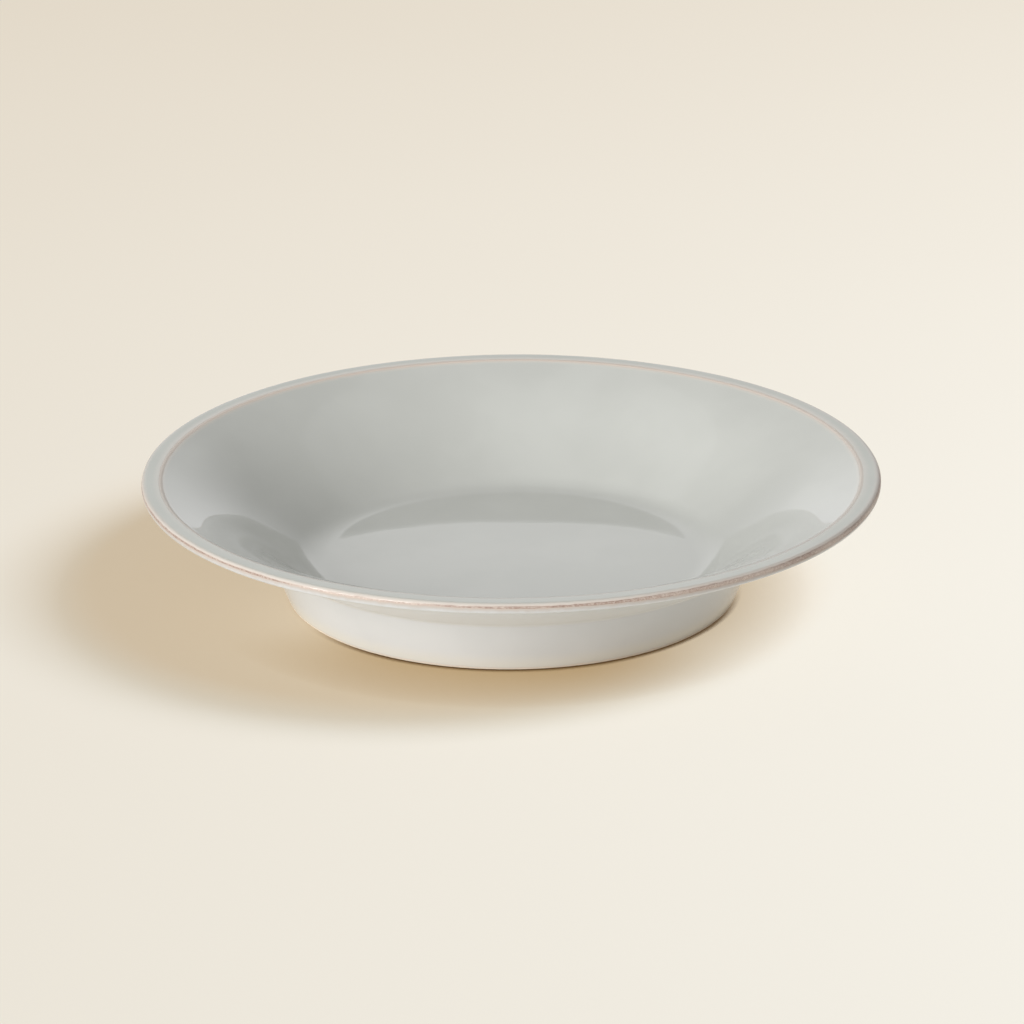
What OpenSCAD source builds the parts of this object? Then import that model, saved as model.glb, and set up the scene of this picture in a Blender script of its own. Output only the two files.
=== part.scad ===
// Pasta bowl: a wide, shallow stoneware bowl on a low foot, glazed inside and out.
// The glaze breaks to bare clay along the outer edge of the rim and along the inner edge of its flat band.
// Lengths are in millimetres. The bowl stands on z = 0, with its axis of symmetry on Z.

/* [Bowl] */
// Outside diameter at the rim
rim_d = 250; // [205:1:300]
// Overall height, from the table to the top of the rim
bowl_h = 42.1; // [34:0.1:52]
// Diameter of the well's floor, measured to the corner where it meets the wall
floor_d = 137; // [112:1:162]
// Thickness of the floor
floor_t = 5.5; // [4.5:0.1:6.5]
// Radius in which the floor turns up into the wall
floor_round = 17; // [5:0.5:30]

/* [Wall] */
// Thickness of the wall
wall_t = 3.2; // [2.6:0.1:3.8]
// How far the wall stands up from a straight line between the floor and the rim
wall_rise = 3.4; // [2:0.1:4.5]
// Where the wall stands up most, as a share of the way from the floor to the rim
rise_share = 0.67; // [0.55:0.01:0.75]
// Radius in which the wall bends outwards
wall_round = 100; // [50:1:120]
// Height of the waist, where the wall's underside meets the foot, as a share of the overall height
waist_share = 0.43; // [0.4:0.005:0.46]
// Radius of the waist
waist_round = 3; // [2:0.1:6]

/* [Rim] */
// Width of the flat band that runs round the rim
band_w = 6.7; // [5:0.1:8.5]
// Angle at which the band falls towards the well
band_slope = 2.5; // [0:0.1:6]
// Radius of the band's inner edge, where the well begins
band_round = 1; // [0.6:0.1:1.5]
// Height of the rim's outer edge, down to the corner of its underside
edge_h = 3.5; // [3.1:0.1:3.9]
// Radius of the outer edge at the top
edge_round = 1.6; // [1.3:0.05:1.9]
// Radius in which the outer edge turns under
lip_round = 2; // [1:0.1:2.4]

/* [Foot] */
// Diameter of the foot at the table
foot_d = 153.2; // [126:0.1:180]
// Width of the foot ring at the table
foot_w = 6; // [4.8:0.1:7.2]
// Radius of the foot ring's two lower edges
foot_round = 0.5; // [0.3:0.05:0.7]
// Depth of the recess under the floor, inside the foot ring
recess_h = 5.2; // [4.2:0.1:6.2]
// Radius where the recess turns into its ceiling
recess_round = 2; // [0.5:0.1:2.4]

/* [Glaze] */
// Thickness of the glaze
glaze_t = 0.5; // [0.2:0.05:0.6]
// Width of the bare line along the inner edge of the band
inner_line_w = 0.8; // [0.4:0.1:1.2]
// Width of the bare line along the rim's outer edge
outer_line_w = 1.3; // [0.8:0.1:1.5]
// Height of the bare clay above the table
foot_bare_h = 0.8; // [0.7:0.05:1.2]

/* [Hidden] */
$fn = 240;

// Angle between the points of a rounded corner
arc_step = 6;
// How far a cut runs past what it cuts
overrun = 2;
// How much of an edge its two roundings may use up
fit_share = 0.95;

clay_colour = [0.78, 0.66, 0.57];
inside_colour = [0.75, 0.76, 0.73];
outside_colour = [0.78, 0.78, 0.75];

rim_r = rim_d / 2;
band_r = rim_r - band_w;
// The corner that the outer edge's rounding takes off stands a little above the top of the rim
edge_z = bowl_h + edge_round * (tan(band_slope) + 1 / cos(band_slope) - 1);
band_z = edge_z - band_w * tan(band_slope);
floor_r = floor_d / 2;
floor_z = recess_h + floor_t;
foot_r = foot_d / 2;
heel_r = foot_r - foot_w;
// The outer edge is widest where its upper rounding ends
widest_z = bowl_h - edge_round;
// Half the angle that the outer bare line takes up round the edge's rounding
bare_angle = outer_line_w / 2 / edge_round * 180 / PI;
// Depth of the middle of the clay below the well's surface
wall_middle = min(wall_t, floor_t) / 2;
// The foot ring is the straight stretch of clay below the recess's rounding
ring_top_z = recess_h - recess_round;

function place(corner) = [corner[0], corner[1]];
function unit(v) = v / norm(v);
function turned(v, angle) = [v[0] * cos(angle) - v[1] * sin(angle), v[0] * sin(angle) + v[1] * cos(angle)];

// Which way the outline turns at b: 1 at a hollow corner, -1 at a corner that stands out
function way(a, b, c) = cross(b - a, c - b) > 0 ? 1 : -1;

// Unit normal of the edge from a to b, pointing into the clay
function inward(a, b) = turned(unit(b - a), -90);

// The corner b moved into the clay by depth, together with the two edges that meet there
function moved(a, b, c, depth) =
    let (first = inward(a, b), second = inward(b, c))
    b + (first + second) * depth / (1 + first * second);

// The inside of the wall: two straight runs, from the floor to the bend and on to the rim's band
floor_corner = [floor_r, floor_z];
band_corner = [band_r, band_z];
wall_run = band_corner - floor_corner;
bend = floor_corner + wall_run * rise_share - inward(floor_corner, band_corner) * wall_rise;

// The outside of the wall lies under them, and comes down to the waist
under_bend = moved(floor_corner, bend, band_corner, wall_t);
under_floor = floor_corner + inward(floor_corner, bend) * wall_t;
waist_z = bowl_h * waist_share;
waist_part = (waist_z - under_floor[1]) / (under_bend[1] - under_floor[1]);
waist = under_floor + (under_bend - under_floor) * waist_part;

// The corners of the finished surface, from the middle of the well over the rim and round the foot to
// the middle of the base. Each is [radius, height, rounding].
wanted = [
    [0, floor_z, 0],
    [floor_r, floor_z, floor_round],
    [bend[0], bend[1], wall_round],
    [band_r, band_z, band_round],
    [rim_r, edge_z, edge_round],
    [rim_r, bowl_h - edge_h, lip_round],
    [under_bend[0], under_bend[1], wall_round - wall_t],
    [waist[0], waist[1], waist_round],
    [foot_r, 0, foot_round],
    [heel_r, 0, foot_round],
    [heel_r, recess_h, recess_round],
    [0, recess_h, 0]
];
last = len(wanted) - 1;

// Half the angle between the two edges that meet at a corner
function half_angle(i) =
    let (here = place(wanted[i]), before = place(wanted[i - 1]), after = place(wanted[i + 1]))
    acos(unit(before - here) * unit(after - here)) / 2;

// How much of each edge a corner's rounding uses up
function reach(i) = wanted[i][2] > 0 ? wanted[i][2] / tan(half_angle(i)) : 0;

// The share of its rounding that the corner i can have beside the rounding of its neighbour j
function room(i, j) =
    min(1, norm(place(wanted[i]) - place(wanted[j])) * fit_share / (reach(i) + reach(j)));

// The finished surface: the same corners, with roundings that fit between their neighbours
surface = [
    for (i = [0 : last])
        let (share = wanted[i][2] > 0 ? min(room(i, i - 1), room(i, i + 1)) : 1)
        [wanted[i][0], wanted[i][1], wanted[i][2] * share]
];

// Points of the arc that rounds the corner b between a and c
function arc(a, b, c, round) =
    let (to_a = unit(a - b), to_c = unit(c - b))
    let (half = acos(to_a * to_c) / 2)
    let (centre = b + unit(to_a + to_c) * round / sin(half))
    let (first = b + to_a * round / tan(half) - centre)
    let (sweep = way(a, b, c) * (180 - 2 * half))
    let (steps = ceil(abs(sweep) / arc_step))
    [for (i = [0 : steps]) centre + turned(first, sweep * i / steps)];

// An outline's points, with its corners rounded
function rounded(corners) = [
    for (i = [0 : len(corners) - 1])
        each corners[i][2] > 0
            ? arc(place(corners[i - 1]), place(corners[i]), place(corners[i + 1]), corners[i][2])
            : [place(corners[i])]
];

// A corner of the surface moved into the clay by depth, with the rounding that it has there
function sunk_corner(i, depth) =
    let (a = place(surface[i - 1]), b = place(surface[i]), c = place(surface[i + 1]))
    let (spot = moved(a, b, c, depth))
    [spot[0], spot[1], max(surface[i][2] + way(a, b, c) * depth, 0)];

// The whole surface moved into the clay by depth. Its two ends stay on the axis.
function sunk(depth) = [
    [0, floor_z - depth, 0],
    for (i = [1 : last - 1]) sunk_corner(i, depth),
    [0, recess_h + depth, 0]
];

module finished_section() {
    polygon(rounded(surface));
}

module core_section() {
    polygon(rounded(sunk(glaze_t)));
}

// Where the clay comes up to the surface: both lines at the rim, and the bottom of the foot
module bare_section() {
    translate([band_r - inner_line_w / 2, band_z - wall_middle])
        square([inner_line_w, wall_middle + overrun]);
    spoke = [edge_round + overrun, 0];
    translate([rim_r - edge_round, widest_z])
        polygon([[0, 0], turned(spoke, -bare_angle), turned(spoke, bare_angle)]);
    translate([0, -overrun])
        square([rim_r, foot_bare_h + overrun]);
}

module clay_section() {
    core_section();
    intersection() {
        finished_section();
        bare_section();
    }
}

module coat_section() {
    difference() {
        finished_section();
        core_section();
        bare_section();
    }
}

// Radius of the middle of the clay between the recess and the lower wall, at a height
function foot_middle(z) = (heel_r + foot_r + (waist[0] - foot_r) * z / waist_z) / 2;

// Everything below the middle of the clay's floor, as far out as the middle of the foot
module base_space() {
    ceiling_z = recess_h + floor_t / 2;
    polygon([
        [0, -overrun],
        [foot_middle(-overrun), -overrun],
        [foot_middle(ceiling_z), ceiling_z],
        [0, ceiling_z]
    ]);
}

// Everything above the middle of the clay's floor and wall, as far out as the inner bare line
module well_space() {
    polygon(rounded([
        [0, floor_z - wall_middle, 0],
        sunk_corner(1, wall_middle),
        sunk_corner(2, wall_middle),
        [band_r, band_z - wall_middle, 0],
        [band_r, bowl_h + overrun, 0],
        [0, bowl_h + overrun, 0]
    ]));
}

// Everything above the rim's widest line and the middle of its clay, as far in as the inner bare line
module rim_space() {
    polygon([
        [band_r, band_z - wall_middle],
        [rim_r, widest_z],
        [rim_r + overrun, widest_z],
        [rim_r + overrun, bowl_h + overrun],
        [band_r, bowl_h + overrun]
    ]);
}

module stoneware_body() {
    color(clay_colour)
        rotate_extrude()
            difference() {
                clay_section();
                translate([0, -overrun])
                    square([rim_r, ring_top_z + overrun]);
            }
}

module foot_ring() {
    color(clay_colour)
        rotate_extrude()
            intersection() {
                clay_section();
                translate([0, -overrun])
                    square([rim_r, ring_top_z + overrun]);
            }
}

module well_glaze() {
    color(inside_colour)
        rotate_extrude()
            intersection() {
                coat_section();
                well_space();
            }
}

module rim_glaze() {
    color(inside_colour)
        rotate_extrude()
            intersection() {
                coat_section();
                rim_space();
            }
}

module outer_glaze() {
    color(outside_colour)
        rotate_extrude()
            difference() {
                coat_section();
                well_space();
                rim_space();
                base_space();
            }
}

module base_glaze() {
    color(outside_colour)
        rotate_extrude()
            intersection() {
                coat_section();
                base_space();
            }
}

stoneware_body();
foot_ring();
well_glaze();
rim_glaze();
outer_glaze();
base_glaze();
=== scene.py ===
"""Looks of a pasta bowl: stoneware in a pale grey gloss glaze that breaks to bare clay at the rim."""
import math

import bpy
import numpy as np
from mathutils import Matrix, Vector


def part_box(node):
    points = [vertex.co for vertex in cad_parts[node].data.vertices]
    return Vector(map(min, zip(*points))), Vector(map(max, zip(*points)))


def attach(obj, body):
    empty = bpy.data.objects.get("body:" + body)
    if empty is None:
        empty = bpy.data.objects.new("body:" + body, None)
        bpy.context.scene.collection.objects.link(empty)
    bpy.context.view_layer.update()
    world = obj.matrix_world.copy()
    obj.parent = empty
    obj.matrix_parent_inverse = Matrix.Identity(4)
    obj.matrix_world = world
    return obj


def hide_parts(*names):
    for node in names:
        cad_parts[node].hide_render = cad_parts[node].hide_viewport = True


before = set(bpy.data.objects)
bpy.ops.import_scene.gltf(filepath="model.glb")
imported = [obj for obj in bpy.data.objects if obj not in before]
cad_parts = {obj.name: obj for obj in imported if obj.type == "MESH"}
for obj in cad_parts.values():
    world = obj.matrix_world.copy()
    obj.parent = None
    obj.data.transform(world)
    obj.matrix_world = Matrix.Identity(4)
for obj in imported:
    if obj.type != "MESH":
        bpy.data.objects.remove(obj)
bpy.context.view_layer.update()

# Millimetres to the frame's metres
MM = 0.001

# Sizes of the bowl in millimetres, those of the part's source
GLAZE_T = 0.5
RIM_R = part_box("stoneware_body")[1].x / MM
BOWL_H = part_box("rim_glaze")[1].z / MM
FLOOR_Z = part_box("well_glaze")[0].z / MM + GLAZE_T
RECESS_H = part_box("base_glaze")[1].z / MM - GLAZE_T
RING_TOP_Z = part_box("foot_ring")[1].z / MM
FLOOR_R = 68.5
FLOOR_ROUND = 17.0
WALL_T = 3.2
WALL_RISE = 3.4
RISE_SHARE = 0.67
WALL_ROUND = 100.0
WAIST_SHARE = 0.43
WAIST_ROUND = 3.0
BAND_W = 6.7
BAND_SLOPE = math.radians(2.5)
BAND_ROUND = 1.0
EDGE_H = 3.5
EDGE_ROUND = 1.6
LIP_ROUND = 2.0
FOOT_R = 76.6
FOOT_W = 6.0
FOOT_ROUND = 0.5
RECESS_ROUND = 2.0
INNER_LINE_W = 0.8
OUTER_LINE_W = 1.3
FOOT_BARE_H = 0.8
# Depth of the outer bare line's middle below the top of the rim
OUTER_LINE_DROP = 1.2

# How finely the meshes are cut: angles round the axis, and steps along the section in millimetres
TURNS = 960
ARC_STEP = math.radians(1.5)
FINE_STEP = 0.16
COARSE_STEP = 1.2
STEP_GROWTH = 0.22
HIDDEN_STEP = 6.0
HIDDEN_GROWTH = 0.44
# A ring that comes this close to the axis becomes one point
AXIS_REACH = 0.01

# Glaze near its edges: it thins out over a taper, and its skin dips a little where it ends. Where an edge
# wanders, it draws the stations within its reach along.
EDGE_TAPER = 2.5
EDGE_THIN = 0.03
EDGE_DIP = 0.02
EDGE_DIP_W = 0.3
EDGE_TIP = 0.02
EDGE_REACH = 5.0

TAU = 2 * math.pi
angles = np.arange(TURNS) * TAU / TURNS


def unit(v):
    return v / np.linalg.norm(v)


def turned(v, angle):
    c, s = math.cos(angle), math.sin(angle)
    return np.array([v[0] * c - v[1] * s, v[0] * s + v[1] * c])


def inward(a, b):
    """Unit normal of the edge from a to b, pointing into the clay."""
    return turned(unit(b - a), -math.pi / 2)


def moved(a, b, c, depth):
    """The corner b moved into the clay by depth, together with the two edges that meet there."""
    first, second = inward(a, b), inward(b, c)
    return b + (first + second) * depth / (1 + first @ second)


def arc(a, b, c, rounding):
    """Points of the arc that rounds the corner b between a and c."""
    to_a, to_c = unit(a - b), unit(c - b)
    half = math.acos(to_a @ to_c) / 2
    centre = b + unit(to_a + to_c) * rounding / math.sin(half)
    first = b + to_a * rounding / math.tan(half) - centre
    turn = (b - a)[0] * (c - b)[1] - (b - a)[1] * (c - b)[0]
    sweep = math.copysign(math.pi - 2 * half, turn)
    steps = math.ceil(abs(sweep) / ARC_STEP)
    return [centre + turned(first, sweep * i / steps) for i in range(steps + 1)]


# Places of two corners in the list that bowl_corners gives
BAND_CORNER = 3
WAIST_CORNER = 7


def bowl_corners():
    """Corners of the finished surface, each with its rounding.

    They go from the middle of the well over the rim and round the foot to the middle of the base.
    """
    edge_z = BOWL_H + EDGE_ROUND * (math.tan(BAND_SLOPE) + 1 / math.cos(BAND_SLOPE) - 1)
    floor = np.array([FLOOR_R, FLOOR_Z])
    band = np.array([RIM_R - BAND_W, edge_z - BAND_W * math.tan(BAND_SLOPE)])
    bend = floor + (band - floor) * RISE_SHARE - inward(floor, band) * WALL_RISE
    under_bend = moved(floor, bend, band, WALL_T)
    under_floor = floor + inward(floor, bend) * WALL_T
    waist_part = (BOWL_H * WAIST_SHARE - under_floor[1]) / (under_bend[1] - under_floor[1])
    waist = under_floor + (under_bend - under_floor) * waist_part
    heel_r = FOOT_R - FOOT_W
    return [
        ((0, FLOOR_Z), 0),
        (floor, FLOOR_ROUND),
        (bend, WALL_ROUND),
        (band, BAND_ROUND),
        ((RIM_R, edge_z), EDGE_ROUND),
        ((RIM_R, BOWL_H - EDGE_H), LIP_ROUND),
        (under_bend, WALL_ROUND - WALL_T),
        (waist, WAIST_ROUND),
        ((FOOT_R, 0), FOOT_ROUND),
        ((heel_r, 0), FOOT_ROUND),
        ((heel_r, RECESS_H), RECESS_ROUND),
        ((0, RECESS_H), 0),
    ]


class Section:
    """The finished surface's outline, by the distance along it from the middle of the well."""

    # Distance between stations that are tried, and from a station to those that give its normal
    SPREAD = 0.05

    def __init__(self, corners):
        spots = [np.array(spot, float) for spot, _ in corners]
        points = [spots[0]]
        for i in range(1, len(corners) - 1):
            points += arc(spots[i - 1], spots[i], spots[i + 1], corners[i][1])
        points.append(spots[-1])
        self.points = np.array(points)
        steps = np.linalg.norm(np.diff(self.points, axis=0), axis=1)
        self.along = np.concatenate([[0], np.cumsum(steps)])
        self.end = self.along[-1]

    def at(self, s):
        r = np.interp(s, self.along, self.points[:, 0])
        z = np.interp(s, self.along, self.points[:, 1])
        return np.stack([r, z], -1)

    def outward(self, s):
        """Unit normals, pointing out of the clay."""
        run = self.at(s + self.SPREAD) - self.at(s - self.SPREAD)
        run /= np.linalg.norm(run, axis=-1, keepdims=True)
        return np.stack([-run[..., 1], run[..., 0]], -1)

    def nearest(self, r, z):
        s = np.arange(0, self.end, self.SPREAD)
        return s[np.argmin(np.linalg.norm(self.at(s) - (r, z), axis=1))]


# Stations: distances along the outline at which its details lie
corner_spots = [spot for spot, _ in bowl_corners()]
section = Section(bowl_corners())
S_INNER = section.nearest(*corner_spots[BAND_CORNER])
S_OUTER = section.nearest(RIM_R, BOWL_H - OUTER_LINE_DROP)
S_LIP = section.nearest(RIM_R, BOWL_H - EDGE_H)
S_WAIST = section.nearest(*corner_spots[WAIST_CORNER])
S_TOE = section.nearest(FOOT_R, 0)
S_HEEL = section.nearest(FOOT_R - FOOT_W, 0)


def height_station(s_low, s_high, z):
    """Where the outline passes the height z between two stations."""
    s = np.arange(s_low, s_high, Section.SPREAD)
    return s[np.argmin(np.abs(section.at(s)[:, 1] - z))]


S_FOOT_LINE = height_station(S_LIP, S_TOE, FOOT_BARE_H)
S_HEEL_LINE = height_station(S_HEEL, section.end, FOOT_BARE_H)
S_RING_OUT = height_station(S_LIP, S_TOE, RING_TOP_Z)
S_RING_IN = height_station(S_HEEL, section.end, RING_TOP_Z)
DETAILS = [S_INNER, S_OUTER, S_LIP, S_WAIST, S_FOOT_LINE, S_TOE, S_HEEL, S_HEEL_LINE]


def steps(start, end, coarse, growth):
    """Stations from start to end or just past it, close together near the details."""
    s = [start]
    while s[-1] < end:
        away = min(abs(s[-1] - d) for d in DETAILS)
        s.append(s[-1] + min(coarse, FINE_STEP + growth * away))
    return s


def stations(start, end, coarse=COARSE_STEP):
    """Stations of a coat of glaze, drawn together a little so that the last one is the end."""
    s = steps(start, end, coarse, STEP_GROWTH)
    return np.array(s) * (end - start) / (s[-1] - start) + start * (s[-1] - end) / (s[-1] - start)


def clay_stations(start, end):
    """Stations of the clay, close together only where it shows, for rings round the axis."""
    s = steps(start, end, HIDDEN_STEP, HIDDEN_GROWTH)
    s[-1] = end
    return np.repeat(np.array(s)[:, None], TURNS, 1)


def smooth(x):
    x = np.clip(x, 0, 1)
    return x * x * (3 - 2 * x)


def ripple(seed, low, high, count=24):
    """An uneven line round the axis, between about -1 and 1, with low to high waves to the turn."""
    rng = np.random.default_rng(seed)
    waves = rng.integers(low, high + 1, count)
    phases = rng.uniform(0, TAU, count)
    total = np.cos(np.outer(angles, waves) + phases).sum(1)
    return total / np.abs(total).max()


# Hand-made unevenness of the whole bowl, as slow waves in millimetres
SWAY_SEED = 7
SWAY_COUNT = 14
SWAY_LENGTHS = (26.0, 90.0)
SWAY_SLOPE = 0.0011
rng = np.random.default_rng(SWAY_SEED)
sway_length = rng.uniform(*SWAY_LENGTHS, SWAY_COUNT)
sway_way = rng.normal(size=(SWAY_COUNT, 3))
sway_way /= np.linalg.norm(sway_way, axis=1, keepdims=True)
sway_phase = rng.uniform(0, TAU, SWAY_COUNT)


def sway(points):
    """How far the surface lies above its true outline: never more than 0."""
    lift = np.zeros(points.shape[:-1])
    for length, way, phase in zip(sway_length, sway_way, sway_phase):
        wave = np.cos(points @ way * TAU / length + phase)
        lift += SWAY_SLOPE * length / TAU * (wave - 1)
    return lift


# Half widths of the bare lines as shares of their widths in the part's source. The outer line is widest on
# one side, and both change a little round the axis, with so many waves to the turn.
WIDE_SIDE = math.radians(-12)
OUTER_HALF_SHARES = {"least": 0.22, "wide_side": 0.4, "change": 0.04}
OUTER_HALF_WAVES = (3, 16)
OUTER_HALF_SEED = 4
INNER_HALF_SHARES = {"least": 0.9, "change": 0.15}
INNER_HALF_WAVES = (2, 14)
INNER_HALF_SEED = 3
# Waves to the turn in which the glaze edges wander: quick ones and slow ones
LINE_WAVES = [(40, 160), (6, 40)]
BRIM_WAVES = [(50, 200), (6, 40)]
FOOT_WAVES = [(20, 90), (3, 14)]


def wander(seed, waves, quick, slow):
    """How far an edge strays from its line, in millimetres, by its quick and its slow waves."""
    return quick * ripple(seed, *waves[0]) + slow * ripple(seed + 1, *waves[1])


outer_share = OUTER_HALF_SHARES["least"]
outer_share = outer_share + OUTER_HALF_SHARES["wide_side"] * smooth(np.cos(angles - WIDE_SIDE))
outer_change = OUTER_HALF_SHARES["change"] * ripple(OUTER_HALF_SEED, *OUTER_HALF_WAVES)
outer_half = OUTER_LINE_W * (outer_share + outer_change)
inner_change = INNER_HALF_SHARES["change"] * ripple(INNER_HALF_SEED, *INNER_HALF_WAVES)
inner_share = INNER_HALF_SHARES["least"] + inner_change
inner_half = INNER_LINE_W * inner_share
# Where the glaze ends, round the axis
EDGES = {
    "well": S_INNER - inner_half + wander(seed=11, waves=LINE_WAVES, quick=0.10, slow=0.12),
    "rim_in": S_INNER + inner_half + wander(seed=13, waves=LINE_WAVES, quick=0.08, slow=0.10),
    "rim_out": S_OUTER - outer_half + wander(seed=15, waves=BRIM_WAVES, quick=0.10, slow=0.12),
    "outer": S_OUTER + outer_half + wander(seed=17, waves=BRIM_WAVES, quick=0.10, slow=0.10),
    "foot": S_FOOT_LINE + wander(seed=19, waves=FOOT_WAVES, quick=0.16, slow=0.14),
    "heel": S_HEEL_LINE + wander(seed=21, waves=FOOT_WAVES, quick=0.16, slow=0.14),
}
# The bare lines, each between two edges of glaze
BARE_LINES = [
    (EDGES["well"], EDGES["rim_in"]),
    (EDGES["rim_out"], EDGES["outer"]),
    (EDGES["foot"], EDGES["heel"]),
]

# How far the thin glaze has worn or burnt through to brown in each bare line, from 0 to 1. The foot's clay
# is below 0, a pale cream.
INNER_WEAR = 0.0
OUTER_WEAR = (0.6, 0.95)
# Wear taken off the outer line where it is smooth, which paints a highlight there as paler clay
PAINTED_HIGHLIGHT_WEAR_CUT = 0.3
FOOT_WEAR = -1.0
WORN_SIDE = math.radians(225)
WEAR_CHANGE = 0.2
WEAR_WAVES = (5, 30)
WEAR_SEED = 23
LEAST_WEAR = 0.1
# The bare line is smooth on one side of the bowl, and matt elsewhere. On that side its wear is also lowered,
# which paints a highlight there as paler clay
SHEEN_SIDE = math.radians(247)
SHEEN_SPREAD = (0.97, 0.985)
# How much the clay of the inner line shows: little at the front, more towards the back
INNER_TINT = (0.2, 1.0)
BACK_SIDE = math.radians(90)
# Over how many millimetres the wall's underside, painted paler as light bounced up from the floor, begins
# and ends
UNDER_FADE = 1.5


def towards(side):
    """1 on that side of the bowl and 0 on the other, round the axis."""
    return smooth(0.5 + 0.5 * np.cos(angles - side))


def by_line(s, inner, outer, foot):
    """The value of the bare line that each station is near."""
    near_foot = np.where(s < (S_OUTER + S_FOOT_LINE) / 2, outer, foot)
    return np.where(s < (S_INNER + S_OUTER) / 2, inner, near_foot)


def under(s):
    """1 on the underside of the wall, from the lip to the waist, where the glaze is painted paler to stand
    in for light bounced up from the floor.
    """
    return smooth((s - S_LIP) / UNDER_FADE) * smooth((S_WAIST - s) / UNDER_FADE + 0.5)


def wear_and_painted_highlight(s):
    """The outer line is brownest at the front left, bar a short stretch there painted paler as a highlight.
    The inner line and the foot stay pale.
    """
    low, high = OUTER_WEAR
    outer = low + (high - low) * towards(WORN_SIDE) ** 2
    dull, bright = SHEEN_SPREAD
    # the smooth stretch of the outer line, where a highlight is painted as paler clay
    painted_highlight = smooth((np.cos(angles - SHEEN_SIDE) - dull) / (bright - dull))
    outer = outer + WEAR_CHANGE * ripple(WEAR_SEED, *WEAR_WAVES) - PAINTED_HIGHLIGHT_WEAR_CUT * painted_highlight
    return by_line(s, INNER_WEAR, np.clip(outer, LEAST_WEAR, high), FOOT_WEAR)


def tint(s):
    """How much the clay shows through: all of it, but for the inner line."""
    low, high = INNER_TINT
    return by_line(s, low + (high - low) * towards(BACK_SIDE), 1.0, 1.0)


def placed(s, depth):
    """Points of the bowl at stations s, sunk by depth, as rings round the axis in millimetres."""
    flat = section.at(s)
    out = section.outward(s)
    ring = np.stack([np.cos(angles), np.sin(angles)], -1)
    true = np.concatenate([flat[..., :1] * ring, flat[..., 1:]], -1)
    lift = sway(true) - depth
    flat = flat + out * lift[..., None]
    return np.concatenate([flat[..., :1] * ring, flat[..., 1:]], -1)


def lathe(name, rings, marks, loop=False):
    """A closed mesh from rings of points. marks has values for the points, and loop joins the last ring."""
    verts, rows = [], []
    for ring in rings:
        on_axis = np.abs(ring[:, :2]).max() < AXIS_REACH
        ring = ring[:1] * (0, 0, 1) if on_axis else ring
        start = sum(len(v) for v in verts)
        rows.append(np.arange(start, start + len(ring)))
        verts.append(ring)
    pairs = list(zip(rows, rows[1:])) + ([(rows[-1], rows[0])] if loop else [])
    quads, tris = [], []
    for a, b in pairs:
        if len(a) > 1 and len(b) > 1:
            quads.append(np.stack([a, b, np.roll(b, -1), np.roll(a, -1)], 1))
        elif len(a) == 1:
            tris.append(np.stack([np.repeat(a, len(b)), b, np.roll(b, -1)], 1))
        else:
            tris.append(np.stack([a, np.repeat(b, len(a)), np.roll(a, -1)], 1))
    quads = np.concatenate(quads) if quads else np.zeros((0, 4), int)
    tris = np.concatenate(tris) if tris else np.zeros((0, 3), int)
    co = np.concatenate(verts) * MM
    corners = np.concatenate([quads.ravel(), tris.ravel()])
    totals = np.concatenate([np.full(len(quads), 4), np.full(len(tris), 3)])
    mesh = bpy.data.meshes.new(name)
    mesh.vertices.add(len(co))
    mesh.vertices.foreach_set("co", co.ravel())
    mesh.loops.add(len(corners))
    mesh.loops.foreach_set("vertex_index", corners)
    mesh.polygons.add(len(totals))
    mesh.polygons.foreach_set("loop_start", np.concatenate([[0], np.cumsum(totals)[:-1]]))
    mesh.polygons.foreach_set("loop_total", totals)
    mesh.update()
    mesh.shade_smooth()
    for mark, values in marks.items():
        kept = np.concatenate([row_values[:len(row)] for row_values, row in zip(values, rows)])
        mesh.attributes.new(mark, "FLOAT", "POINT").data.foreach_set("value", kept.astype(np.float32))
    piece = bpy.data.objects.new(name, mesh)
    bpy.context.scene.collection.objects.link(piece)
    return piece


def from_edges(s, edges):
    """Distance of each station from the nearest glaze edge."""
    return np.min([np.abs(s - e[None, :]) for e in edges], axis=0)


def coat(name, start, end, edges):
    """A coat of glaze between two stations. edges has its uneven ends, by their true stations."""
    def stretched(s):
        s = np.repeat(s[:, None], TURNS, 1)
        moved_s = s.copy()
        for line, edge in edges:
            pull = smooth(1 - np.abs(s - line) / EDGE_REACH)
            moved_s += pull * (edge - line)[None, :]
        return moved_s
    inner = stations(start, end)[1:-1]
    top = stretched(np.concatenate([[start, start + EDGE_TIP], inner, [end - EDGE_TIP, end]]))
    low = stretched(stations(start, end, HIDDEN_STEP))[::-1]
    ends = [edge for _, edge in edges]
    top_away, low_away = from_edges(top, ends), from_edges(low, ends)
    dip = EDGE_DIP * (1 - smooth(top_away / EDGE_DIP_W))
    thick = EDGE_THIN + (GLAZE_T - EDGE_THIN) * smooth(low_away / EDGE_TAPER)
    rings = np.concatenate([placed(top, dip), placed(low, thick)])
    both = np.concatenate([top, low])
    away = np.concatenate([top_away, low_away])
    # the under mark is the wall's underside, painted paler as light bounced up from the floor
    # the worn mark carries both wear and a highlight painted as paler clay on the outer line
    marks = {"edge_mm": away, "worn": wear_and_painted_highlight(both), "tint": tint(both), "under": under(both)}
    return lathe(name, rings, marks, loop=start > 0 and end < section.end)


# The clay comes up near the surface in the bare lines, with a slightly rough skin
BARE_DEPTH = 0.02
BARE_ROUGH = 0.02
GRIT_SEED = 31


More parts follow.
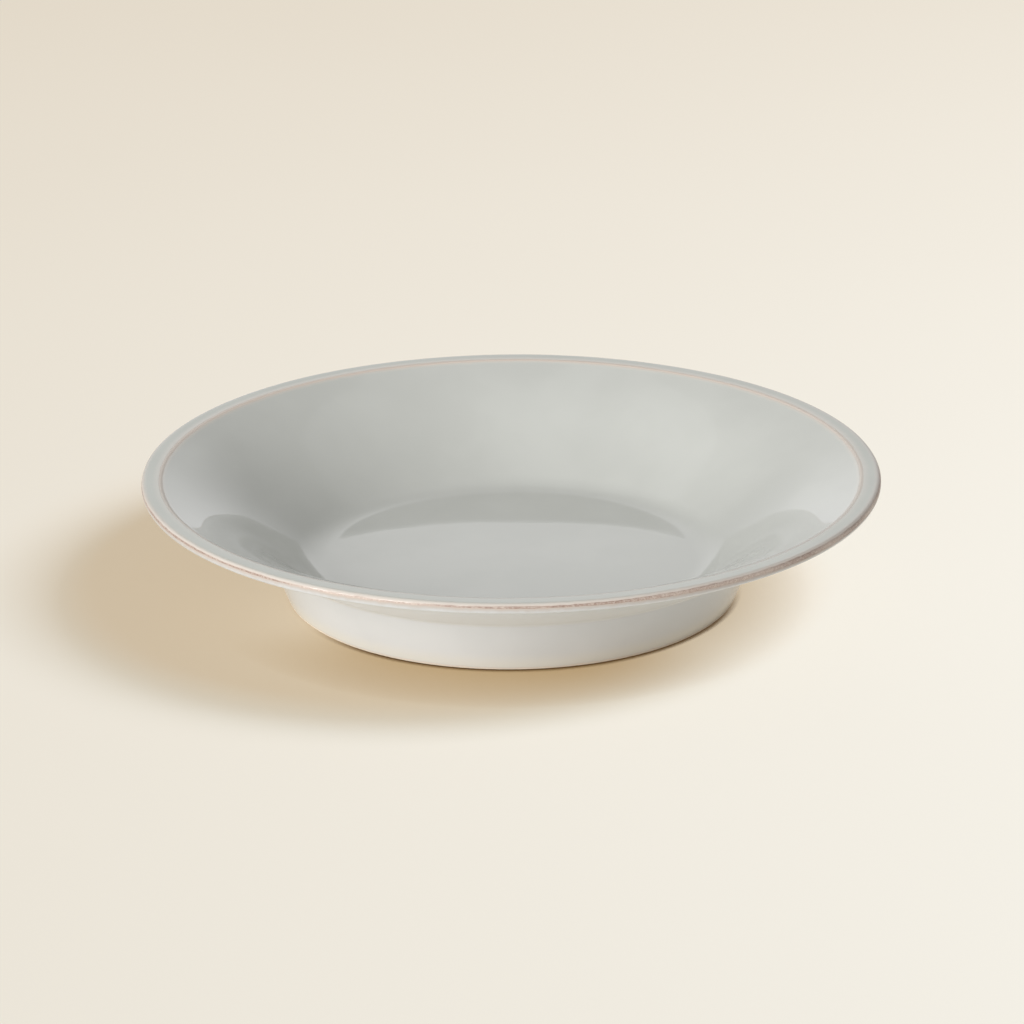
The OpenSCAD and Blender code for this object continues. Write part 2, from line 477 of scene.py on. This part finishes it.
def clay_rings(s):
    """Rings of the clay at stations s, how far each point lies inside a bare line, its wear with the painted
    highlight, and its tint.
    """
    inside = np.full(s.shape, -np.inf)
    for first, last in BARE_LINES:
        inside = np.maximum(inside, np.minimum(s - first[None, :], last[None, :] - s))
    covered = EDGE_THIN + (GLAZE_T - EDGE_THIN) * smooth(-inside / EDGE_TAPER)
    grit = np.random.default_rng(GRIT_SEED).uniform(0, BARE_ROUGH, s.shape)
    shown = EDGE_THIN + (BARE_DEPTH - EDGE_THIN + grit) * smooth(inside / EDGE_DIP_W)
    return placed(s, np.where(inside > 0, shown, covered)), np.maximum(inside, 0), wear_and_painted_highlight(s), tint(s)


def make_body():
    upper = clay_stations(0, S_RING_OUT)
    lower = clay_stations(S_RING_IN, section.end)
    parts = [clay_rings(upper), clay_rings(lower)]
    rings, inside, worn, tints = (np.concatenate(both) for both in zip(*parts))
    return lathe("stoneware_body_fine", rings, {"edge_mm": inside, "worn": worn, "tint": tints})


def make_foot():
    rings, inside, worn, tints = clay_rings(clay_stations(S_RING_OUT, S_RING_IN))
    return lathe("foot_ring_fine", rings, {"edge_mm": inside, "worn": worn, "tint": tints}, loop=True)


def make_well():
    return coat("well_glaze_fine", 0, S_INNER, [(S_INNER, EDGES["well"])])


def make_rim():
    edges = [(S_INNER, EDGES["rim_in"]), (S_OUTER, EDGES["rim_out"])]
    return coat("rim_glaze_fine", S_INNER, S_OUTER, edges)


def make_outside():
    edges = [(S_OUTER, EDGES["outer"]), (S_FOOT_LINE, EDGES["foot"])]
    return coat("outer_glaze_fine", S_OUTER, S_FOOT_LINE, edges)


def make_base():
    return coat("base_glaze_fine", S_HEEL_LINE, section.end, [(S_HEEL_LINE, EDGES["heel"])])


def srgb(red, green, blue):
    """A colour in display levels from 0 to 255, as the shaders' linear values."""
    levels = np.array([red, green, blue]) / 255
    linear = np.where(levels > 0.04045, ((levels + 0.055) / 1.055) ** 2.4, levels / 12.92)
    return (*linear.tolist(), 1.0)


class Material:
    """A node material with short calls for the textures that are used here. Sizes are in millimetres."""

    def __init__(self, name):
        self.material = bpy.data.materials.new(name)
        self.material.use_nodes = True
        self.tree = self.material.node_tree
        self.surface = self.tree.nodes["Principled BSDF"]
        self.place = self.tree.nodes.new("ShaderNodeTexCoord").outputs["Object"]

    def put(self, value, socket):
        if isinstance(value, bpy.types.NodeSocket):
            self.tree.links.new(value, socket)
        else:
            socket.default_value = value

    def noise(self, size, detail, roughness=0.5):
        node = self.tree.nodes.new("ShaderNodeTexNoise")
        self.put(self.place, node.inputs["Vector"])
        self.put(1 / (size * MM), node.inputs["Scale"])
        self.put(detail, node.inputs["Detail"])
        self.put(roughness, node.inputs["Roughness"])
        return node.outputs["Fac"]

    def mark(self, name):
        node = self.tree.nodes.new("ShaderNodeAttribute")
        node.attribute_name = name
        return node.outputs["Fac"]

    def spread(self, value, low, high, to_low=0.0, to_high=1.0):
        node = self.tree.nodes.new("ShaderNodeMapRange")
        node.interpolation_type = "SMOOTHSTEP"
        for socket, given in zip(node.inputs, (value, low, high, to_low, to_high)):
            self.put(given, socket)
        return node.outputs["Result"]

    def math(self, operation, first, second):
        node = self.tree.nodes.new("ShaderNodeMath")
        node.operation = operation
        self.put(first, node.inputs[0])
        self.put(second, node.inputs[1])
        return node.outputs["Value"]

    def mix(self, share, first, second):
        node = self.tree.nodes.new("ShaderNodeMix")
        node.data_type = "RGBA"
        self.put(share, node.inputs["Factor"])
        self.put(first, node.inputs["A"])
        self.put(second, node.inputs["B"])
        return node.outputs["Result"]

    def open_sky(self, reach, samples):
        """How much of what lies within reach of a point is open, from 0 to 1."""
        node = self.tree.nodes.new("ShaderNodeAmbientOcclusion")
        node.samples = samples
        self.put(reach, node.inputs["Distance"])
        return node.outputs["AO"]

    def facing(self, azimuth):
        """How far a place lies on one side of the axis, from -1 to 1."""
        way = self.tree.nodes.new("ShaderNodeVectorMath")
        way.operation = "NORMALIZE"
        self.put(self.place, way.inputs[0])
        share = self.tree.nodes.new("ShaderNodeVectorMath")
        share.operation = "DOT_PRODUCT"
        self.put(way.outputs["Vector"], share.inputs[0])
        self.put((math.cos(azimuth), math.sin(azimuth), 0), share.inputs[1])
        return share.outputs["Value"]

    def glance(self):
        """0 where a face is seen square on, and 1 where it is seen edge on."""
        node = self.tree.nodes.new("ShaderNodeLayerWeight")
        self.put(0.5, node.inputs["Blend"])
        return node.outputs["Facing"]

    def bump(self, height, depth):
        node = self.tree.nodes.new("ShaderNodeBump")
        self.put(height, node.inputs["Height"])
        self.put(depth * MM, node.inputs["Distance"])
        return node.outputs["Normal"]

    def finish(self, colour, roughness, normal):
        self.put(colour, self.surface.inputs["Base Color"])
        self.put(roughness, self.surface.inputs["Roughness"])
        self.put(normal, self.surface.inputs["Normal"])
        return self.material


# The part of a noise's range that matters, as low and high ends
NOISE_SPREAD = (0.3, 0.7)
# How far the colours along a glaze edge stray from it, in millimetres
EDGE_STRAY = (-0.15, 0.15)

# Colours of the glaze: creamy over clay, above the foot, painted paler under the wall as bounced light, and
# on both sides of the outer line
GLAZE_CREAM = srgb(205, 200, 191)
GLAZE_FOOT = srgb(203, 203, 198)
UNDERSIDE_PAINTED_LIGHT = srgb(213, 217, 219)
GLAZE_LIP = srgb(172, 164, 157)
GLAZE_BRIM = srgb(198, 189, 180)
# Colours of the thinnest glaze, where it ends
EDGE_PALE = srgb(206, 197, 187)
EDGE_BROWN = srgb(182, 168, 157)
# Distances from the glaze edge in millimetres: where the thinnest glaze ends, where the halo begins, and how
# far it goes above the foot
EDGE_FADE = (-0.2, 0.5)
HALO_START = 0.1
FOOT_HALO = 7.0
# Sizes of the glaze's details in millimetres, and their strengths
CLOUD_SIZE = 38
CLOUD_SPREAD = (0.35, 0.65)
SPECK_SIZE = 0.55
SPECK_SPREAD = (0.72, 0.8)
SPECK_SHARE = 0.35
STRAY_SIZE = 2.5
GLOSS_SIZE = 9
GLOSS_ROUGHNESS = (0.005, 0.014)
PEEL_SIZE = 7
PEEL_DEPTH = 0.008
# Seen at a very low angle the glaze is duller
DULL_GLANCE = (0.88, 0.98)
DULL_ROUGHNESS = 0.22


def glaze_material(name, colour, shade, halo, lip=GLAZE_CREAM):
    """Gloss glaze, cloudy and a little specked.

    Over halo millimetres at its edges it thins, and the clay below makes it creamy, or gives it the colour
    lip along the outer line.
    """
    m = Material(name)
    clouds = m.spread(m.noise(CLOUD_SIZE, detail=3.0), *CLOUD_SPREAD)
    body = m.mix(clouds, colour, shade)
    # The underside from lip to waist is painted paler: light bounced up from the floor, not the glaze's own
    # colour
    body = m.mix(m.mark("under"), body, UNDERSIDE_PAINTED_LIGHT)
    specks = m.spread(m.noise(SPECK_SIZE, detail=1.0), *SPECK_SPREAD, 0.0, SPECK_SHARE)
    body = m.mix(specks, body, GLAZE_CREAM)
    stray = m.spread(m.noise(STRAY_SIZE, detail=2.0), *NOISE_SPREAD, *EDGE_STRAY)
    edge = m.math("ADD", m.mark("edge_mm"), stray)
    outer = m.spread(m.mark("worn"), 0.0, LEAST_WEAR)
    foot = m.spread(m.mark("worn"), FOOT_WEAR, 0.0, 1.0, 0.0)
    pale = m.mix(foot, GLAZE_CREAM, GLAZE_FOOT)
    veil = m.mix(m.mark("tint"), body, m.mix(outer, pale, lip))
    reach = m.spread(foot, 0.0, 1.0, halo, FOOT_HALO)
    creamed = m.mix(m.spread(edge, HALO_START, reach), veil, body)
    last = m.mix(m.mark("tint"), body, m.mix(outer, EDGE_PALE, EDGE_BROWN))
    thin = m.mix(m.spread(edge, *EDGE_FADE), last, creamed)
    gloss = m.spread(m.noise(GLOSS_SIZE, detail=2.0), *NOISE_SPREAD, *GLOSS_ROUGHNESS)
    roughness = m.math("ADD", gloss, m.spread(m.glance(), *DULL_GLANCE, 0.0, DULL_ROUGHNESS))
    peel = m.bump(m.noise(PEEL_SIZE, detail=1.0), PEEL_DEPTH)
    return m.finish(thin, roughness, peel)


# Colours of the clay where it is worn: its grains and edges, and the two that it is mottled with
CLAY_DARK = srgb(128, 104, 94)
CLAY_BROWN = srgb(160, 140, 128)
CLAY_PALE = srgb(185, 171, 160)
# Colours of the clay where it is little worn: itself, its grains, under thin glaze, and at the foot
CLAY_PEACH = srgb(210, 197, 185)
CLAY_GRAIN = srgb(192, 174, 160)
CLAY_VEILED = srgb(199, 197, 190)
CLAY_CREAM = srgb(215, 206, 192)
# Sizes of the clay's details in millimetres, and their strengths
MOTTLE_SIZE = 0.9
MOTTLE_SPREAD = (0.34, 0.64)
GRAIN_SIZE = 0.3
GRAIN_SPREAD = (0.5, 0.68)
GRAIN_SHARE = 0.8
PALE_GRAIN_SHARE = 0.25
DARK_EDGE_W = 0.4
DARK_EDGE_SHARE = 0.7
SKIN_SIZE = 0.8
SKIN_ROUGHNESS = (0.16, 0.28)
MATT_ROUGHNESS = 0.3
GRIT_SIZE = 0.35
GRIT_DEPTH = 0.03


def clay_material(name):
    """Bare fired clay under a breath of glaze: peach where little worn, else brown with dark grains."""
    m = Material(name)
    mottle = m.spread(m.noise(MOTTLE_SIZE, detail=3.0, roughness=0.6), *MOTTLE_SPREAD)
    brown = m.mix(mottle, CLAY_BROWN, CLAY_PALE)
    grains = m.spread(m.noise(GRAIN_SIZE, detail=1.0), *GRAIN_SPREAD, 0.0, GRAIN_SHARE)
    skin = m.noise(SKIN_SIZE, detail=1.0)
    edge = m.math("ADD", m.mark("edge_mm"), m.spread(skin, *NOISE_SPREAD, *EDGE_STRAY))
    rimmed = m.mix(m.spread(edge, 0.0, DARK_EDGE_W, DARK_EDGE_SHARE, 0.0), brown, CLAY_DARK)
    worn = m.mix(grains, rimmed, CLAY_DARK)
    peach = m.mix(m.math("MULTIPLY", grains, PALE_GRAIN_SHARE), CLAY_PEACH, CLAY_GRAIN)
    pale = m.mix(m.mark("tint"), CLAY_VEILED, peach)
    pale = m.mix(m.spread(m.mark("worn"), FOOT_WEAR, 0.0, 1.0, 0.0), pale, CLAY_CREAM)
    # the worn mark is lowered along the smooth stretch of the outer line, painting a highlight there as
    # paler clay
    colour = m.mix(m.spread(m.mark("worn"), 0.0, 1.0), pale, worn)
    matt = m.spread(m.facing(SHEEN_SIDE), *SHEEN_SPREAD, MATT_ROUGHNESS, 0.0)
    roughness = m.math("ADD", m.spread(skin, *NOISE_SPREAD, *SKIN_ROUGHNESS), matt)
    grit = m.bump(m.noise(GRIT_SIZE, detail=2.0, roughness=0.6), GRIT_DEPTH)
    return m.finish(colour, roughness, grit)


# Each coat's two colours, and the width of its halo in millimetres
INSIDE_COLOURS = (srgb(197, 198, 192), srgb(193, 194, 188))
INSIDE_HALO = 1.6
RIM_COLOURS = (srgb(186, 188, 180), srgb(182, 184, 176))
RIM_HALO = 2.6
OUTSIDE_COLOURS = (srgb(197, 200, 202), srgb(193, 196, 198))
OUTSIDE_HALO = 2.2

# Each piece: how it is made, the node that it replaces and its material
PIECES = [
    (make_body, "stoneware_body", "clay"),
    (make_foot, "foot_ring", "clay"),
    (make_well, "well_glaze", "inside_glaze"),
    (make_rim, "rim_glaze", "rim_glaze"),
    (make_outside, "outer_glaze", "outside_glaze"),
    (make_base, "base_glaze", "outside_glaze"),
]
MATERIALS = {
    "clay": clay_material("bare_clay"),
    "inside_glaze": glaze_material("well_glaze_gloss", *INSIDE_COLOURS, INSIDE_HALO),
    "rim_glaze": glaze_material("rim_glaze_gloss", *RIM_COLOURS, RIM_HALO, GLAZE_BRIM),
    "outside_glaze": glaze_material("outside_glaze_gloss", *OUTSIDE_COLOURS, OUTSIDE_HALO, GLAZE_LIP),
}
bowl_pieces = bpy.data.collections.new("bowl_pieces")
bpy.context.scene.collection.children.link(bowl_pieces)
for make, node, slot in PIECES:
    piece = make()
    piece.data.materials.append(MATERIALS[slot])
    bowl_pieces.objects.link(piece)
    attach(piece, "root")
    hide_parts(node)


# The photograph's frame, and where the middle of the rim falls in it
PHOTO_SIZE = 1024
CENTRE_X = 511.4
CENTRE_Y = 471.9
PIXELS_PER_MM = 2.955
CAMERA_AIM_Z = 41.3
CAMERA_AWAY = 1.65
CAMERA_ELEVATION = math.radians(19.82)
CAMERA_ROLL = math.radians(-0.4)
SENSOR_MM = 36.0
CLIP_END = 50


def add_camera():
    data = bpy.data.cameras.new("camera")
    focal = PIXELS_PER_MM * CAMERA_AWAY / MM
    data.sensor_width = SENSOR_MM
    data.lens = SENSOR_MM * focal / PHOTO_SIZE
    data.clip_end = CLIP_END
    camera = bpy.data.objects.new("camera", data)
    tilt = math.atan((PHOTO_SIZE / 2 - CENTRE_Y) / focal)
    pan = math.atan((PHOTO_SIZE / 2 - CENTRE_X) / focal)
    back = -CAMERA_AWAY * math.cos(CAMERA_ELEVATION)
    up = CAMERA_AIM_Z * MM + CAMERA_AWAY * math.sin(CAMERA_ELEVATION)
    turn = (Matrix.Rotation(-pan, 4, "Z")
            @ Matrix.Rotation(math.pi / 2 - CAMERA_ELEVATION - tilt, 4, "X")
            @ Matrix.Rotation(CAMERA_ROLL, 4, "Z"))
    camera.matrix_world = Matrix.Translation((0, back, up)) @ turn
    bpy.context.scene.collection.objects.link(camera)
    bpy.context.scene.camera = camera


# The floor's paper: half its width in metres, and its details' sizes in millimetres
FLOOR_HALF = 6.0
FLOOR_TONE = srgb(150, 140, 120)
FLOOR_CLOUD = srgb(149, 139, 119)
FLOOR_CLOUD_SIZE = 400
FLOOR_ROUGHNESS = 0.9
FIBRE_SIZE = 3
FIBRE_DEPTH = 0.01
# Its warm glow, with a painted shade in it around the bowl and a painted contact shadow, in the paper's tone
# too, where the foot touches it, each on one side of the bowl. Reaches are in metres.
FLOOR_GLOW = (0.473, 0.385, 0.277, 1.0)
SHADE_GLOW = (0.23, 0.11, 0.0, 1.0)
SHADE_REACH = 0.03
SHADE_SAMPLES = 6
SHADE_SIDE = math.radians(262)
SHADE_SPREAD = (0.5, 0.97)
# Painted contact shadow: a darker paper tone and a dimmer glow where the foot touches the floor
CONTACT_SHADOW_TONE = srgb(90, 70, 50)
CONTACT_SHADOW_GLOW = (0.06, 0.03, 0.005, 1.0)
CONTACT_REACH = 0.003
CONTACT_SAMPLES = 4
CONTACT_OPEN = (0.4, 0.75)
CONTACT_SIDE = math.radians(285)
CONTACT_SPREAD = (0.2, 0.7)


def add_floor():
    """The paper that the bowl stands on. Part of its light is a warm glow, weaker close to the bowl: a
    painted shade, and a painted contact shadow where the foot touches it, each stronger on one side.
    """
    mesh = bpy.data.meshes.new("floor")
    h = FLOOR_HALF
    mesh.from_pydata([(-h, -h, 0), (h, -h, 0), (h, h, 0), (-h, h, 0)], [], [(0, 1, 2, 3)])
    m = Material("floor_paper")
    clouds = m.spread(m.noise(FLOOR_CLOUD_SIZE, detail=1.0), *CLOUD_SPREAD)
    paper = m.mix(clouds, FLOOR_TONE, FLOOR_CLOUD)
    # painted shade: the glow is dimmed where the bowl covers the floor, mostly on one side
    covered = m.math("SUBTRACT", 1.0, m.open_sky(SHADE_REACH, SHADE_SAMPLES))
    shade = m.math("MULTIPLY", covered, m.spread(m.facing(SHADE_SIDE), *SHADE_SPREAD))
    glow = m.mix(shade, FLOOR_GLOW, SHADE_GLOW)
    # painted contact shadow: glow and paper darkened where the foot touches, mostly on one side
    touching = m.spread(m.open_sky(CONTACT_REACH, CONTACT_SAMPLES), *CONTACT_OPEN, 1.0, 0.0)
    contact_shadow = m.math("MULTIPLY", touching, m.spread(m.facing(CONTACT_SIDE), *CONTACT_SPREAD))
    glow = m.mix(contact_shadow, glow, CONTACT_SHADOW_GLOW)
    paper = m.mix(contact_shadow, paper, CONTACT_SHADOW_TONE)
    m.put(glow, m.surface.inputs["Emission Color"])
    m.put(1.0, m.surface.inputs["Emission Strength"])
    fibres = m.bump(m.noise(FIBRE_SIZE, detail=2.0), FIBRE_DEPTH)
    mesh.materials.append(m.finish(paper, FLOOR_ROUGHNESS, fibres))
    floor = bpy.data.objects.new("floor", mesh)
    bpy.context.scene.collection.objects.link(floor)
    return floor


# What the lamps face, and where a soft lamp begins and ends to fade, as shares of its width from its middle
AIM = Vector((0, 0, 0.02))
FADE_START_SHARE = 0.05
FADE_END_SHARE = 0.5
LAMP_MIDDLE = (0.5, 0.5, 0)


def add_lamp(name, azimuth, elevation, away, size, level, receivers, colour=(1, 1, 1), soft=False):
    """A soft box that faces the bowl, with its angles in degrees and its distance and size in metres.

    level is how bright it looks, and receivers is the collection of what it lights.
    """
    data = bpy.data.lights.new(name, "AREA")
    data.shape = "RECTANGLE"
    data.size, data.size_y = size
    data.energy = math.pi * size[0] * size[1] * level
    data.color = colour
    lamp = bpy.data.objects.new(name, data)
    a, e = math.radians(azimuth), math.radians(elevation)
    lamp.location = AIM + away * Vector((math.cos(e) * math.cos(a), math.cos(e) * math.sin(a), math.sin(e)))
    lamp.rotation_euler = (AIM - lamp.location).to_track_quat("-Z", "Y").to_euler()
    bpy.context.scene.collection.objects.link(lamp)
    lamp.light_linking.receiver_collection = receivers
    if soft:
        soften(data)


def soften(data):
    """Lets a lamp fade out from its middle to its edges."""
    data.use_nodes = True
    tree = data.node_tree
    spot = tree.nodes.new("ShaderNodeNewGeometry")
    middle = tree.nodes.new("ShaderNodeVectorMath")
    middle.operation = "DISTANCE"
    middle.inputs[1].default_value = LAMP_MIDDLE
    fade = tree.nodes.new("ShaderNodeMapRange")
    fade.interpolation_type = "SMOOTHSTEP"
    fade.inputs["From Min"].default_value = FADE_END_SHARE
    fade.inputs["From Max"].default_value = FADE_START_SHARE
    tree.links.new(spot.outputs["Parametric"], middle.inputs[0])
    tree.links.new(middle.outputs["Value"], fade.inputs["Value"])
    tree.links.new(fade.outputs["Result"], tree.nodes["Emission"].inputs["Strength"])


def add_world(level):
    world = bpy.data.worlds.new("studio")
    world.use_nodes = True
    world.node_tree.nodes["Background"].inputs["Color"].default_value = (1, 1, 1, 1)
    world.node_tree.nodes["Background"].inputs["Strength"].default_value = level
    bpy.context.scene.world = world


add_camera()
floor = add_floor()
floor_only = bpy.data.collections.new("floor_only")
floor_only.objects.link(floor)
add_world(level=0.42)
add_lamp("key_box", azimuth=230, elevation=16, away=2.0, size=(1.7, 1.15), level=7.75,
         receivers=bowl_pieces)
add_lamp("back_box", azimuth=90, elevation=14, away=2.0, size=(2.3, 2.3), level=0.75,
         receivers=bowl_pieces, soft=True)
add_lamp("floor_box", azimuth=0, elevation=47, away=2.0, size=(0.8, 0.8), level=27.0,
         receivers=floor_only, colour=(0.659, 0.735, 1.0))
add_lamp("floor_fill", azimuth=-20, elevation=50, away=2.0, size=(1.1, 1.1), level=13.2,
         receivers=floor_only, colour=(0.233, 0.541, 1.0))
add_lamp("top_panel", azimuth=270, elevation=87, away=0.98, size=(2.4, 1.6), level=0.2,
         receivers=bowl_pieces)

bpy.context.scene.view_settings.view_transform = "Standard"
